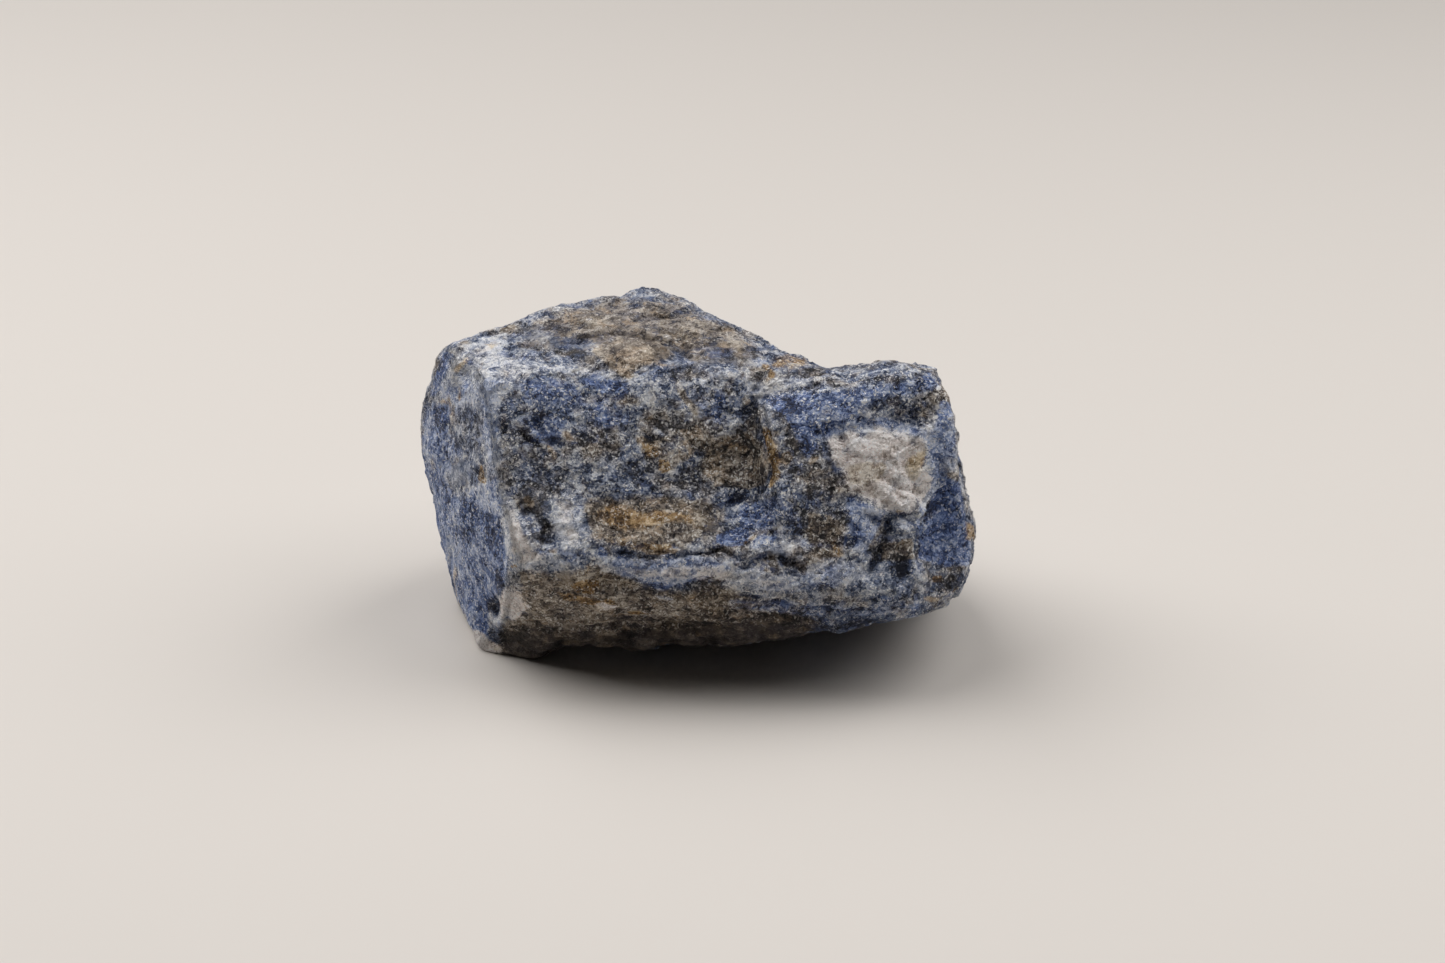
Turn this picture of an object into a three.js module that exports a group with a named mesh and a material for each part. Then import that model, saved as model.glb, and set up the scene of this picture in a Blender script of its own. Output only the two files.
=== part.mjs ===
// A rough hand specimen of blue quartz, one broken stone with no other pieces.
// Millimetres, +Z up. It stands on its flat underside, with the origin under the middle of its
// bounding box, its long side along X and its broad broken front towards -Y.
import * as THREE from "three";
import { ImprovedNoise } from "three/addons/math/ImprovedNoise.js";

const EDGE_WEAR = 0.7; // how far a worn outer edge is rounded
const SEAM_WEAR = 0.4; // how far the inner corner between two lumps is filled
const CELL = 1.35; // spacing of the grid that the surface is drawn on
const SNAP = 0.1; // below this height a vertex is set on the ground
const GRID_LOW = new THREE.Vector3(-33, -25, -CELL / 2);
const GRID_HIGH = new THREE.Vector3(33, 24, 34);

// Slow swells and hollows of the broken faces.
const SWELL = { size: 7, height: 0.5 };
const RIPPLE = { size: 2.8, height: 0.2 };

// A scooped break below the right shoulder, part of a ball.
const RIGHT_HOLLOW = { centre: [30.4, -23.3, 16.5], radius: 11 };

// A low arch that lifts the front edge of the underside clear of the ground.
const FOOT_ARCH = { centre: [-10.3, -13.4, -3.6], radius: 6 };

// Breaks along the foot of the stone that cut more than one lump.
const SKIRT = { through: [0, -17.6, 2.9], turn: 30, lift: -72 };
const RIGHT_FOOT = { through: [26, -9, 6.3], turn: 74, lift: -26 };
const RIGHT_UNDER = { through: [20, -19, 7.3], turn: 34, lift: -44 };
const BACK_RIGHT_FOOT = { through: [20, 7, 5], turn: 135, lift: -24 };

// The stone is four lumps grown into one. Each lump is bounded by flat breaks. A break passes
// through a point, and looks towards `turn` degrees round from the front, to the right, and
// `lift` degrees above the horizontal.
const MAIN_LUMP = {
  breaks: {
    front: { through: [-8.5, -13.1, 23.3], turn: 7.5, lift: 36 },
    frontUnder: { through: [0, -17.5, 9], turn: 2, lift: -30 },
    skirt: SKIRT,
    top: { through: [-4, 0, 29.7], turn: 50, lift: 85 },
    topLeft: { through: [-19.5, 2, 29.3], turn: -85, lift: 78 },
    topLeftCorner: { through: [-26.8, 1.5, 28.2], turn: -80, lift: 50 },
    leftUpper: { through: [-25.2, -5, 20], turn: -62, lift: 8 },
    leftLower: { through: [-25.3, -5, 10], turn: -63, lift: -2 },
    leftFoot: { through: [-24.9, -5, 3], turn: -80, lift: -12 },
    backLeft: { through: [-18.5, 4.6, 28], turn: -153, lift: 15 },
    backLeftLower: { through: [-25.9, 7.5, 13], turn: -124, lift: -20 },
    backPeak: { through: [-10.1, 12.2, 28.7], turn: -165, lift: 14 },
    backRight: { through: [1, 5.8, 29], turn: 133, lift: 42 },
    backRightLower: { through: [13, 10, 16], turn: 152, lift: 12 },
    backRightFoot: BACK_RIGHT_FOOT,
    back: { through: [-4, 19, 13], turn: 176, lift: -3 },
    backFoot: { through: [-4, 18, 5], turn: -172, lift: -28 },
    right: { through: [27.6, -7, 12], turn: 100, lift: 0 },
    rightTop: { through: [27.2, -7, 13.5], turn: 95, lift: 25 },
    rightFoot: RIGHT_FOOT,
    rightUnder: RIGHT_UNDER,
  },
  hollows: {
    besideStep: { centre: [4.6, -21.1, 27.1], radius: 10.6 },
    right: RIGHT_HOLLOW,
    arch: FOOT_ARCH,
    backScoop: { centre: [3, 31, 22], radius: 15.5 },
  },
};
const SHELF = {
  breaks: {
    slope: { through: [-4, -19.8, 16], turn: 4, lift: 52 },
    lip: { through: [0, -21.7, 13.5], turn: 0, lift: 12 },
    under: { through: [0, -19.7, 8], turn: -4, lift: -27 },
    skirt: SKIRT,
    leftEnd: { through: [-17.2, -18.5, 12], turn: -62, lift: -8 },
    right: { through: [26.7, -8, 11], turn: 95, lift: 10 },
    rightEnd: { through: [25, -16.8, 10], turn: 52, lift: -5 },
    rightFoot: RIGHT_FOOT,
    rightUnder: RIGHT_UNDER,
    behind: { through: [0, -4, 12], turn: 180, lift: 0 },
    above: { through: [0, -16, 18.8], turn: 0, lift: 80 },
  },
  hollows: { right: RIGHT_HOLLOW, arch: FOOT_ARCH },
};
const SHOULDER = {
  breaks: {
    front: { through: [15, -14.6, 22], turn: 9, lift: 36 },
    step: { through: [6.1, -11.5, 27], turn: -68, lift: 7 },
    rim: { through: [18, -8.6, 31], turn: 185, lift: 58 },
    brow: { through: [15, -10.7, 28.6], turn: -6, lift: 52 },
    crown: { through: [17.6, -9.5, 29.3], turn: -90, lift: 77 },
    rightCorner: { through: [24.8, -8.3, 29.9], turn: 85, lift: 36 },
    right: { through: [25.2, -8, 21], turn: 98, lift: 3 },
    behind: { through: [15, 3, 22], turn: 165, lift: 15 },
    rightFoot: RIGHT_FOOT,
    backRightFoot: BACK_RIGHT_FOOT,
    below: { through: [13, -19, 15.8], turn: -25, lift: -62 },
  },
  hollows: { right: RIGHT_HOLLOW },
};
const RIB = {
  breaks: {
    front: { through: [20.5, -18.9, 14], turn: 9, lift: 28 },
    fissure: { through: [18.2, -19.6, 14.5], turn: -72, lift: 15 },
    right: { through: [24.2, -12, 14], turn: 88, lift: 22 },
    above: { through: [20, -12, 19.5], turn: 0, lift: 90 },
    below: { through: [21, -19.4, 8.6], turn: 20, lift: -50 },
    skirt: SKIRT,
    rightFoot: RIGHT_FOOT,
    rightUnder: RIGHT_UNDER,
    behind: { through: [0, -8, 12], turn: 180, lift: 0 },
  },
  hollows: { right: RIGHT_HOLLOW },
};

const noise = new ImprovedNoise();

// Unit vector that a break looks along.
function outlook({ turn, lift }) {
  const round = THREE.MathUtils.degToRad(turn);
  const up = THREE.MathUtils.degToRad(lift);
  return new THREE.Vector3(
    Math.sin(round) * Math.cos(up),
    -Math.cos(round) * Math.cos(up),
    Math.sin(up),
  );
}

function planesOf(breaks) {
  return Object.values(breaks).map((face) => {
    const normal = outlook(face);
    return new THREE.Plane(normal, -normal.dot(new THREE.Vector3(...face.through)));
  });
}

// The largest of some distances, with the corner between them rounded by `wear`.
function roundedMax(distances, wear) {
  const largest = Math.max(...distances);
  const sum = distances.reduce((total, d) => total + Math.exp((d - largest) / wear), 0);
  return largest + wear * Math.log(sum);
}

const lumps = [MAIN_LUMP, SHELF, SHOULDER, RIB].map(({ breaks, hollows }) => ({
  planes: planesOf(breaks),
  balls: Object.values(hollows).map(
    ({ centre, radius }) => new THREE.Sphere(new THREE.Vector3(...centre), radius),
  ),
}));

// How far a point lies outside the broken shape, or inside it where negative.
function shapeDistance(point) {
  const toLumps = lumps.map(({ planes, balls }) =>
    roundedMax(
      [
        ...planes.map((plane) => plane.distanceToPoint(point)),
        ...balls.map((ball) => -ball.distanceToPoint(point)),
      ],
      EDGE_WEAR,
    ),
  );
  return -roundedMax(toLumps.map((d) => -d), SEAM_WEAR);
}

function roughness(point) {
  return [SWELL, RIPPLE].reduce((total, { size, height }) => {
    const value = noise.noise(point.x / size, point.y / size, point.z / size);
    return total + height * value;
  }, 0);
}

// The stone stands on the plane Z = 0, which cuts its underside flat.
function stoneDistance(point) {
  return Math.max(shapeDistance(point) - roughness(point), -point.z);
}

// The direction in which the stone's surface faces at a point on it.
function surfaceNormal(point) {
  const step = 0.01;
  const slopes = ["x", "y", "z"].map((axis) => {
    const ahead = point.clone();
    const behind = point.clone();
    ahead[axis] += step;
    behind[axis] -= step;
    return stoneDistance(ahead) - stoneDistance(behind);
  });
  return new THREE.Vector3(...slopes).normalize();
}

// Where the surface crosses the grid edge between two corners, and how it faces there.
function crossing(a, b) {
  let low = a.clone();
  let high = b.clone();
  const inwards = stoneDistance(low) > 0;
  for (let halving = 0; halving < 12; halving++) {
    const middle = low.clone().lerp(high, 0.5);
    if (stoneDistance(middle) > 0 === inwards) low = middle;
    else high = middle;
  }
  const at = low.lerp(high, 0.5);
  return { at, normal: surfaceNormal(at) };
}

// The point of a cell that lies on every surface plane crossing the cell, so that a sharp edge
// of the stone keeps its corner.
function cellVertex(crossings, cell) {
  const vertex = new THREE.Vector3();
  crossings.forEach(({ at }) => vertex.add(at));
  vertex.divideScalar(crossings.length);
  const pull = new THREE.Vector3();
  for (let pass = 0; pass < 30; pass++) {
    pull.set(0, 0, 0);
    crossings.forEach(({ at, normal }) => {
      const off = normal.dot(at) - normal.dot(vertex);
      pull.addScaledVector(normal, off / crossings.length);
    });
    vertex.add(pull);
  }
  return cell.clampPoint(vertex, vertex);
}

// One closed surface, by dual contouring: a vertex in each grid cell that the surface passes
// through, and a quad across each grid edge that it crosses.
function stoneGeometry() {
  const counts = GRID_HIGH.clone().sub(GRID_LOW).divideScalar(CELL).ceil();
  const cornerAt = (i, j, k) => new THREE.Vector3(i, j, k).multiplyScalar(CELL).add(GRID_LOW);
  const keyOf = (i, j, k) => (k * (counts.y + 2) + j) * (counts.x + 2) + i;
  const isInside = new Map();
  const loop = (visit) => {
    for (let k = 0; k <= counts.z; k++)
      for (let j = 0; j <= counts.y; j++)
        for (let i = 0; i <= counts.x; i++) visit(i, j, k);
  };
  loop((i, j, k) => isInside.set(keyOf(i, j, k), stoneDistance(cornerAt(i, j, k)) < 0));

  const steps = [
    [1, 0, 0],
    [0, 1, 0],
    [0, 0, 1],
  ];
  const crossingsOf = new Map(); // cell key to the crossings on its edges
  const quads = [];
  loop((i, j, k) => {
    steps.forEach(([dx, dy, dz], axis) => {
      const start = isInside.get(keyOf(i, j, k));
      const end = isInside.get(keyOf(i + dx, j + dy, k + dz));
      if (end === undefined || start === end) return;
      const found = crossing(cornerAt(i, j, k), cornerAt(i + dx, j + dy, k + dz));
      const [u, v] = [steps[(axis + 1) % 3], steps[(axis + 2) % 3]];
      const around = [
        [0, 0],
        [1, 0],
        [1, 1],
        [0, 1],
      ].map(([a, b]) => [i - a * u[0] - b * v[0], j - a * u[1] - b * v[1], k - a * u[2] - b * v[2]]);
      around.forEach((cell) => {
        const key = keyOf(...cell);
        if (!crossingsOf.has(key)) crossingsOf.set(key, { cell, crossings: [] });
        crossingsOf.get(key).crossings.push(found);
      });
      const ring = around.map((cell) => keyOf(...cell));
      quads.push(start ? ring : ring.reverse());
    });
  });

  const vertices = [];
  const indexOf = new Map();
  crossingsOf.forEach(({ cell, crossings }, key) => {
    const low = cornerAt(...cell);
    const box = new THREE.Box3(low, low.clone().addScalar(CELL));
    const vertex = cellVertex(crossings, box);
    if (vertex.z < SNAP) vertex.z = 0;
    indexOf.set(key, vertices.length);
    vertices.push(vertex);
  });
  const triangles = quads.flatMap((quad) => {
    const [a, b, c, d] = quad.map((key) => indexOf.get(key));
    const shortAcross = vertices[a].distanceTo(vertices[c]) < vertices[b].distanceTo(vertices[d]);
    return shortAcross ? [a, b, c, a, c, d] : [a, b, d, b, c, d];
  });

  const geometry = new THREE.BufferGeometry().setFromPoints(vertices);
  geometry.setIndex(triangles);
  geometry.computeBoundingBox();
  const middle = geometry.boundingBox.getCenter(new THREE.Vector3());
  geometry.translate(-middle.x, -middle.y, 0);
  geometry.computeVertexNormals();
  return geometry;
}

const blueQuartz = new THREE.MeshStandardMaterial({
  color: 0x4d5873,
  roughness: 0.62,
  metalness: 0,
});

const stone = new THREE.Mesh(stoneGeometry(), blueQuartz);
stone.name = "stone";

const specimen = new THREE.Group();
specimen.name = "blue_quartz_specimen";
specimen.add(stone);

export default specimen;
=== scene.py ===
import math
import bpy
import numpy as np
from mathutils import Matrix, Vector
from mathutils.bvhtree import BVHTree


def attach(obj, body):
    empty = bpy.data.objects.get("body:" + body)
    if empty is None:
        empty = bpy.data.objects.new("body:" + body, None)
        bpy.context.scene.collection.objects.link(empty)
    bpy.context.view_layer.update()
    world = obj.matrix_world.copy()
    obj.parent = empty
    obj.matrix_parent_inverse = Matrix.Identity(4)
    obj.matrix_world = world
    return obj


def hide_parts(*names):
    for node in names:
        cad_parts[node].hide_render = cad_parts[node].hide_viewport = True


# A rough blue quartz specimen: one broken stone on a plain pale floor. Lengths in the settings are
# millimetres, apart from the studio's, and the marks' points are columns and rows of the camera's frame.
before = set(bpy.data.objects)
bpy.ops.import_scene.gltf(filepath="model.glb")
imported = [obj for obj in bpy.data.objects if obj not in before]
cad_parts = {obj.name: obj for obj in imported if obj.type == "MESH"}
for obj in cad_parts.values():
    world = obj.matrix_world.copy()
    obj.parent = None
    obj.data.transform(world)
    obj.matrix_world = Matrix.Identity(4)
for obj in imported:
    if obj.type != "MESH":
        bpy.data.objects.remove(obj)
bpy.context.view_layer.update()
mm = 0.001
print("stage: frame loaded")

camera = {
    "frame": (1445, 963),  # columns and rows
    "focus": 4208,  # focal length in columns of the frame
    "sensor": 36,
    "near": 10,
    "far": 20000,
    "pitch": 27,  # degrees below the horizontal
    "target": (2.679, 0.871, 13.25),
    "distance": 425,
}


def cameraAxes():
    pitch = math.radians(camera["pitch"])
    ahead = Vector((0, math.cos(pitch), -math.sin(pitch)))
    above = Vector((0, math.sin(pitch), math.cos(pitch)))
    place = Vector(camera["target"]) - camera["distance"] * ahead
    return place, ahead, above


def addCamera():
    place, ahead, above = cameraAxes()
    data = bpy.data.cameras.new("camera")
    data.sensor_fit = "HORIZONTAL"
    data.sensor_width = camera["sensor"]
    data.lens = camera["sensor"] * camera["focus"] / camera["frame"][0]
    data.clip_start = camera["near"] * mm
    data.clip_end = camera["far"] * mm
    thing = bpy.data.objects.new("camera", data)
    thing.location = place * mm
    thing.rotation_euler = (math.radians(90 - camera["pitch"]), 0, 0)
    bpy.context.scene.collection.objects.link(thing)
    bpy.context.scene.camera = thing


addCamera()
print("stage: camera")


# A socket of a node tree. Sums and products of it add the nodes that work them out.
class Wire:
    def __init__(self, tree, socket=None):
        self.tree = tree
        self.socket = socket

    def node(self, kind, settings=None, values=None, output=0):
        made = self.tree.nodes.new(kind)
        for name, value in (settings or {}).items():
            if name == "colours":
                fillRamp(made.color_ramp, value)
            else:
                setattr(made, name, value)
        for name, value in (values or {}).items():
            if isinstance(value, Wire):
                self.tree.links.new(value.socket, made.inputs[name])
            else:
                made.inputs[name].default_value = value
        return Wire(self.tree, made.outputs[output] if made.outputs else None)

    def maths(self, operation, first, second=0.0):
        return self.node("ShaderNodeMath", {"operation": operation}, {0: first, 1: second})

    def vectors(self, operation, values, output=0):
        return self.node("ShaderNodeVectorMath", {"operation": operation}, values, output)

    # Another output of the same node.
    def other(self, name):
        return Wire(self.tree, self.socket.node.outputs[name])

    def __add__(self, more):
        return self.maths("ADD", self, more)

    def __radd__(self, more):
        return self.maths("ADD", more, self)

    def __sub__(self, more):
        return self.maths("SUBTRACT", self, more)

    def __rsub__(self, more):
        return self.maths("SUBTRACT", more, self)

    def __mul__(self, more):
        return self.maths("MULTIPLY", self, more)

    def __rmul__(self, more):
        return self.maths("MULTIPLY", more, self)

    def centred(self):
        return self - 0.5

    def clamped(self):
        return self.maths("MINIMUM", self.maths("MAXIMUM", self, 0.0), 1.0)

    def ramped(self, low, high):
        settings = {"interpolation_type": "SMOOTHSTEP"}
        values = {"Value": self, "From Min": low, "From Max": high, "To Min": 0.0, "To Max": 1.0}
        return self.node("ShaderNodeMapRange", settings, values)

    def scaled(self, by):
        return self.vectors("MULTIPLY", {0: self, 1: by})

    def over(self, size):
        return self.vectors("DIVIDE", {0: self, 1: size if isinstance(size, Wire) else (size,) * 3})

    def shifted(self, by):
        return self.vectors("ADD", {0: self, 1: by})

    # A random colour as a vector that points any way, up to half of `by` long on each axis.
    def spread(self, by):
        return self.shifted((-0.5,) * 3).scaled((by,) * 3)

    def noise(self, scale, detail, roughness):
        values = {"Vector": self, "Scale": scale, "Detail": detail, "Roughness": roughness}
        return self.node("ShaderNodeTexNoise", {"noise_dimensions": "3D"}, values)

    def cells(self, scale):
        values = {"Vector": self, "Scale": scale, "Randomness": 1.0}
        return self.node("ShaderNodeTexVoronoi", {"feature": "F1"}, values)

    # Inputs 6 and 7 and output 2 of a Mix node are its colours.
    def blend(self, factor, first, second):
        settings = {"data_type": "RGBA", "blend_type": "MIX"}
        return self.node("ShaderNodeMix", settings, {0: factor, 6: first, 7: second}, 2)


def fillRamp(ramp, colours):
    while len(ramp.elements) < len(colours):
        ramp.elements.new(0.5)
    for i, colour in enumerate(colours):
        ramp.elements[i].position = i / (len(colours) - 1)
        ramp.elements[i].color = paint(colour)


# A colour given as its usual six digits, as the linear values that Blender mixes.
def paint(digits):
    parts = [int(digits[i : i + 2], 16) / 255 for i in (0, 2, 4)]
    return tuple((p / 12.92 if p < 0.04045 else ((p + 0.055) / 1.055) ** 2.4) for p in parts) + (1.0,)


body = {
    "weld": 0.001,
    "voxel": 0.3,  # spacing of the fine mesh
    "facetPasses": 9,  # passes of smoothing that melt the coarse facets
    "markPasses": 4,  # of the normals that the grooves and scarps are cut along
    "facePasses": 25,  # of the normals that tell which way a whole face looks
}


def fineCopy(source, name):
    mesh = source.data.copy()
    mesh.transform(source.matrix_world)
    thing = bpy.data.objects.new(name, mesh)
    bpy.context.scene.collection.objects.link(thing)
    weld = thing.modifiers.new("weld", "WELD")
    weld.merge_threshold = body["weld"] * mm
    remesh = thing.modifiers.new("remesh", "REMESH")
    remesh.mode = "VOXEL"
    remesh.voxel_size = body["voxel"] * mm
    baked(thing)
    return thing


# Replaces an object's mesh by its evaluated one, and takes its modifiers away.
def baked(thing):
    scene = bpy.context.evaluated_depsgraph_get()
    mesh = bpy.data.meshes.new_from_object(thing.evaluated_get(scene))
    old = thing.data
    thing.modifiers.clear()
    thing.data = mesh
    mesh.name = thing.name
    bpy.data.meshes.remove(old)


def readPoints(mesh):
    flat = np.empty(len(mesh.vertices) * 3, np.float32)
    mesh.vertices.foreach_get("co", flat)
    return flat.reshape(-1, 3).astype(np.float64) / mm


def writePoints(mesh, points):
    mesh.vertices.foreach_set("co", (points * mm).astype(np.float32).ravel())
    mesh.update()


def readNormals(mesh):
    flat = np.empty(len(mesh.vertices) * 3, np.float32)
    mesh.vertex_normals.foreach_get("vector", flat)
    return flat.reshape(-1, 3).astype(np.float64)


# The points that share an edge, for smoothing what is known at each point.
class Neighbours:
    def __init__(self, mesh):
        ends = np.empty(len(mesh.edges) * 2, np.int32)
        mesh.edges.foreach_get("vertices", ends)
        ends = ends.reshape(-1, 2)
        self.here = np.concatenate([ends[:, 0], ends[:, 1]])
        self.there = np.concatenate([ends[:, 1], ends[:, 0]])
        self.size = len(mesh.vertices)
        self.count = np.bincount(self.here, minlength=self.size)

    def average(self, values):
        columns = [
            np.bincount(self.here, weights=values[self.there, c], minlength=self.size)
            for c in range(values.shape[1])
        ]
        return np.stack(columns, 1) / self.count[:, None]

    def smoothed(self, values, passes, share=0.6):
        for _ in range(passes):
            values = values + share * (self.average(values) - values)
        return values


stone = fineCopy(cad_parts["stone"], "stone_surface")
near = Neighbours(stone.data)
points = readPoints(stone.data)
points = near.smoothed(points, body["facetPasses"])
writePoints(stone.data, points)
print("stage: fine mesh,", len(stone.data.polygons), "faces")


# What rays are shot at.
def target(mesh, points):
    return BVHTree.FromPolygons([Vector(p) for p in points], [tuple(f.vertices) for f in mesh.polygons])


surface = target(stone.data, points)
farAway = 1e9
tiny = 0.001


# The place on the stone that shows at a column and row of the camera's frame.
def landed(seen):
    place, ahead, above = cameraAxes()
    across = (seen[0] - camera["frame"][0] / 2) / camera["focus"]
    down = (seen[1] - camera["frame"][1] / 2) / camera["focus"]
    ray = (ahead + across * Vector((1, 0, 0)) - down * above).normalized()
    hit = surface.ray_cast(place, ray)[0]
    if hit is None:
        hit = surface.find_nearest(place + camera["distance"] * ray)[0]
    return np.array(hit)


# A mark's own line on the stone, from the points of the frame or from places in millimetres.
def lineOf(mark):
    if "seen" in mark:
        line = [landed(s) for s in mark["seen"]]
    else:
        line = [np.array(p, float) for p in mark["at"]]
    return line if len(line) > 1 else [line[0], line[0] + tiny]


def fromLine(places, line):
    best = np.full(len(places), farAway)
    for start, end in zip(line[:-1], line[1:]):
        along = end - start
        share = ((places - start) @ along / (along @ along)).clip(0, 1)
        away = places - start - share[:, None] * along
        best = np.minimum(best, np.linalg.norm(away, axis=1))
    return best


def groove(width, depth, *points):
    return {"seen": points, "width": width, "depth": depth}


def scarp(width, drop, reach, *points):
    return {"seen": points, "width": width, "drop": drop, "reach": reach}


# Grooves, and ridges where the depth is below 0: a width, a depth, and points of the camera's frame.
grooves = {
    "leftPit": groove(0.85, 0.7, (526, 509), (537, 515), (544, 526), (546, 538)),
    "longSlit": groove(0.36, 0.5, (523, 434), (532, 440), (541, 447)),
    "slitWedge": groove(0.8, 0.3, (545, 436), (553, 441)),
    "shortSlit": groove(0.36, 0.35, (496, 425), (503, 429)),
    "crackLeft": groove(0.26, 0.35, (618, 553), (628, 551), (640, 556), (654, 557)),
    "crackMiddle": groove(0.26, 0.35, (668, 559), (684, 555), (700, 553)),
    "crackRight": groove(0.3, 0.45, (704, 553), (719, 550), (733, 554), (738, 560)),
    "arcPocket": groove(0.85, 0.3, (783, 564), (796, 569)),
    "footHole": groove(0.7, 0.9, (494, 602), (491, 612)),
    "shoulderHollow": groove(1.2, 0.6, (895, 419), (912, 415), (930, 408)),
    "rightHollow": groove(1.9, 0.9, (944, 492), (936, 522), (928, 542)),
    "crustGroove": groove(0.8, 0.16, (824, 447), (830, 462), (839, 476)),
    "footSide": groove(1.6, -0.8, (476, 620), (484, 638)),
    "crustSlit": groove(0.3, 0.5, (842, 438), (845, 448), (848, 459)),
    "crustSlot": groove(0.6, 0.3, (827, 435), (839, 436)),
    "crustFoldUpper": groove(0.45, 0.35, (880, 478), (895, 486), (903, 500)),
    "crustFoldLower": groove(0.45, 0.35, (868, 490), (884, 502), (893, 512)),
    "crustHump": groove(2.4, -0.45, (852, 450), (878, 460), (892, 478)),
    "crustKnob": groove(1, -0.4, (897, 503), (912, 505)),
    "paleKnob": groove(0.9, -0.4, (902, 521), (915, 523)),
    "fissure": groove(1.1, 0.65, (890, 520), (882, 540), (875, 556), (864, 575)),
    "ribGap": groove(0.9, 0.6, (902, 552), (902, 572)),
    "rib": groove(0.4, -0.4, (953, 473), (944, 489), (930, 504), (919, 518), (915, 545), (912, 572)),
    "cornerPit": groove(0.7, 0.6, (461, 372), (466, 380)),
    "cornerDent": groove(0.7, 0.35, (456, 388), (458, 396)),
    "rimDip": groove(2.2, 0.6, (848, 372), (880, 366)),
    "shoulderCorner": {"at": [(24.5, -5, 29.8)], "width": 3.4, "depth": 1.5},
    "rim": groove(0.5, -0.22, (757, 393), (774, 386), (808, 383), (835, 376), (862, 369), (900, 364)),
    "leftEdge": groove(0.7, -0.15, (493, 380), (498, 413), (491, 466), (503, 496), (514, 536), (506, 577)),
    "footLineUpper": groove(0.3, 0.22, (742, 596), (790, 607), (850, 613), (900, 611)),
    "footLineLower": groove(0.3, 0.22, (700, 606), (770, 617), (840, 622), (900, 614)),
    "footLineLeft": groove(0.35, 0.2, (540, 600), (600, 588), (650, 598)),
}
# Small scarps: the stone drops to the right of each line, as the line runs, and rises again away from it.
# Each has the width of its slope, its drop, how far the drop reaches, and points of the camera's frame.
scarps = {
    "recess": scarp(0.32, 0.5, 1.8, (752, 392), (757, 414), (763, 436), (770, 452), (771, 476), (764, 491),
        (748, 496), (734, 504), (722, 506)),
    "arc": scarp(0.35, 0.6, 1.2, (733, 569), (742, 562), (752, 557), (766, 553), (781, 554), (794, 560),
        (808, 570)),
    "lip": scarp(0.5, 0.5, 2.4, (590, 563), (612, 571), (640, 582), (666, 588), (690, 581), (706, 579),
        (728, 588), (768, 600), (800, 605), (830, 608), (868, 611), (895, 611)),
    "crustLeft": scarp(0.6, 0.16, 1.4, (842, 434), (828, 441), (832, 458), (842, 478), (850, 492),
        (856, 508)),
    "crustTop": scarp(0.5, 0.3, 1.8, (932, 434), (905, 431), (880, 429), (855, 431), (836, 434)),
    "crustSplit": scarp(0.35, 0.5, 1.3, (921, 511), (916, 494), (908, 478), (899, 462), (894, 450)),
    "crustFoot": scarp(0.4, 0.5, 1.5, (858, 508), (880, 516), (898, 514), (922, 512)),
    "fissureWall": scarp(0.4, 0.6, 2, (860, 580), (869, 564), (877, 548), (883, 532), (888, 514)),
    "hollowWall": scarp(0.45, 0.5, 2.6, (912, 575), (916, 542), (920, 518), (931, 504), (946, 488),
        (957, 468)),
    "footBreak": scarp(0.5, 0.3, 2, (500, 628), (540, 622), (590, 625), (640, 619), (700, 622)),
    "frontChip": scarp(0.6, 0.25, 3, (700, 500), (660, 480), (640, 455), (655, 430), (690, 410)),
    "slitChip": scarp(0.4, 0.25, 1.6, (560, 432), (541, 430), (524, 432), (541, 449), (556, 452)),
    "leftChip": scarp(0.5, 0.25, 2, (450, 500), (456, 480), (470, 470), (484, 472)),
    "topStep": scarp(0.6, 0.3, 2.5, (545, 345), (590, 333), (640, 332), (690, 345), (720, 362)),
    "topFold": scarp(0.6, 0.2, 2.2, (530, 366), (575, 357), (620, 360), (655, 372)),
}


# Where places show in the camera's frame.
def shownAt(places):
    place, ahead, above = (np.array(v) for v in cameraAxes())
    away = places - place
    depth = away @ ahead
    columns = camera["frame"][0] / 2 + camera["focus"] * away[:, 0] / depth
    rows = camera["frame"][1] / 2 - camera["focus"] * (away @ above) / depth
    return np.stack([columns, rows], 1)


# A scarp fades in over this length from each end, or over this share of a short one.
scarpTaper = {"length": 2.0, "share": 1 / 3}


# How deep a scarp cuts at each place.
def scarpCut(mark, places, shown):
    line = lineOf(mark)
    lengths = [np.linalg.norm(end - start) for start, end in zip(line[:-1], line[1:])]
    best = np.full(len(places), farAway)
    along = np.zeros(len(places))
    side = np.zeros(len(places))
    for i, length in enumerate(lengths):
        way = (line[i + 1] - line[i]) / length
        share = ((places - line[i]) @ way).clip(0, length)
        away = np.linalg.norm(places - line[i] - share[:, None] * way, axis=1)
        across = np.array(mark["seen"][i + 1]) - np.array(mark["seen"][i])
        reached = shown - mark["seen"][i]
        nearer = away < best
        best = np.where(nearer, away, best)
        along = np.where(nearer, sum(lengths[:i]) + share, along)
        side = np.where(nearer, np.sign(across[0] * reached[:, 1] - across[1] * reached[:, 0]), side)
    signed = best * side
    whole = sum(lengths)
    taper = np.minimum(along, whole - along) / min(scarpTaper["length"], whole * scarpTaper["share"])
    fade = np.exp(-((signed / mark["reach"]) ** 2))
    edge = shareBetween(signed, -mark["width"] / 2, mark["width"] / 2)
    return mark["drop"] * edge * fade * shareBetween(taper, 0, 1)


# From 0 at the low value to 1 at the high one, with soft ends.
def shareBetween(values, low, high):
    share = ((values - low) / (high - low)).clip(0, 1)
    return share * share * (3 - 2 * share)


def grooveCut(mark, places):
    return mark["depth"] * np.exp(-((fromLine(places, lineOf(mark)) / mark["width"]) ** 2))


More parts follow.
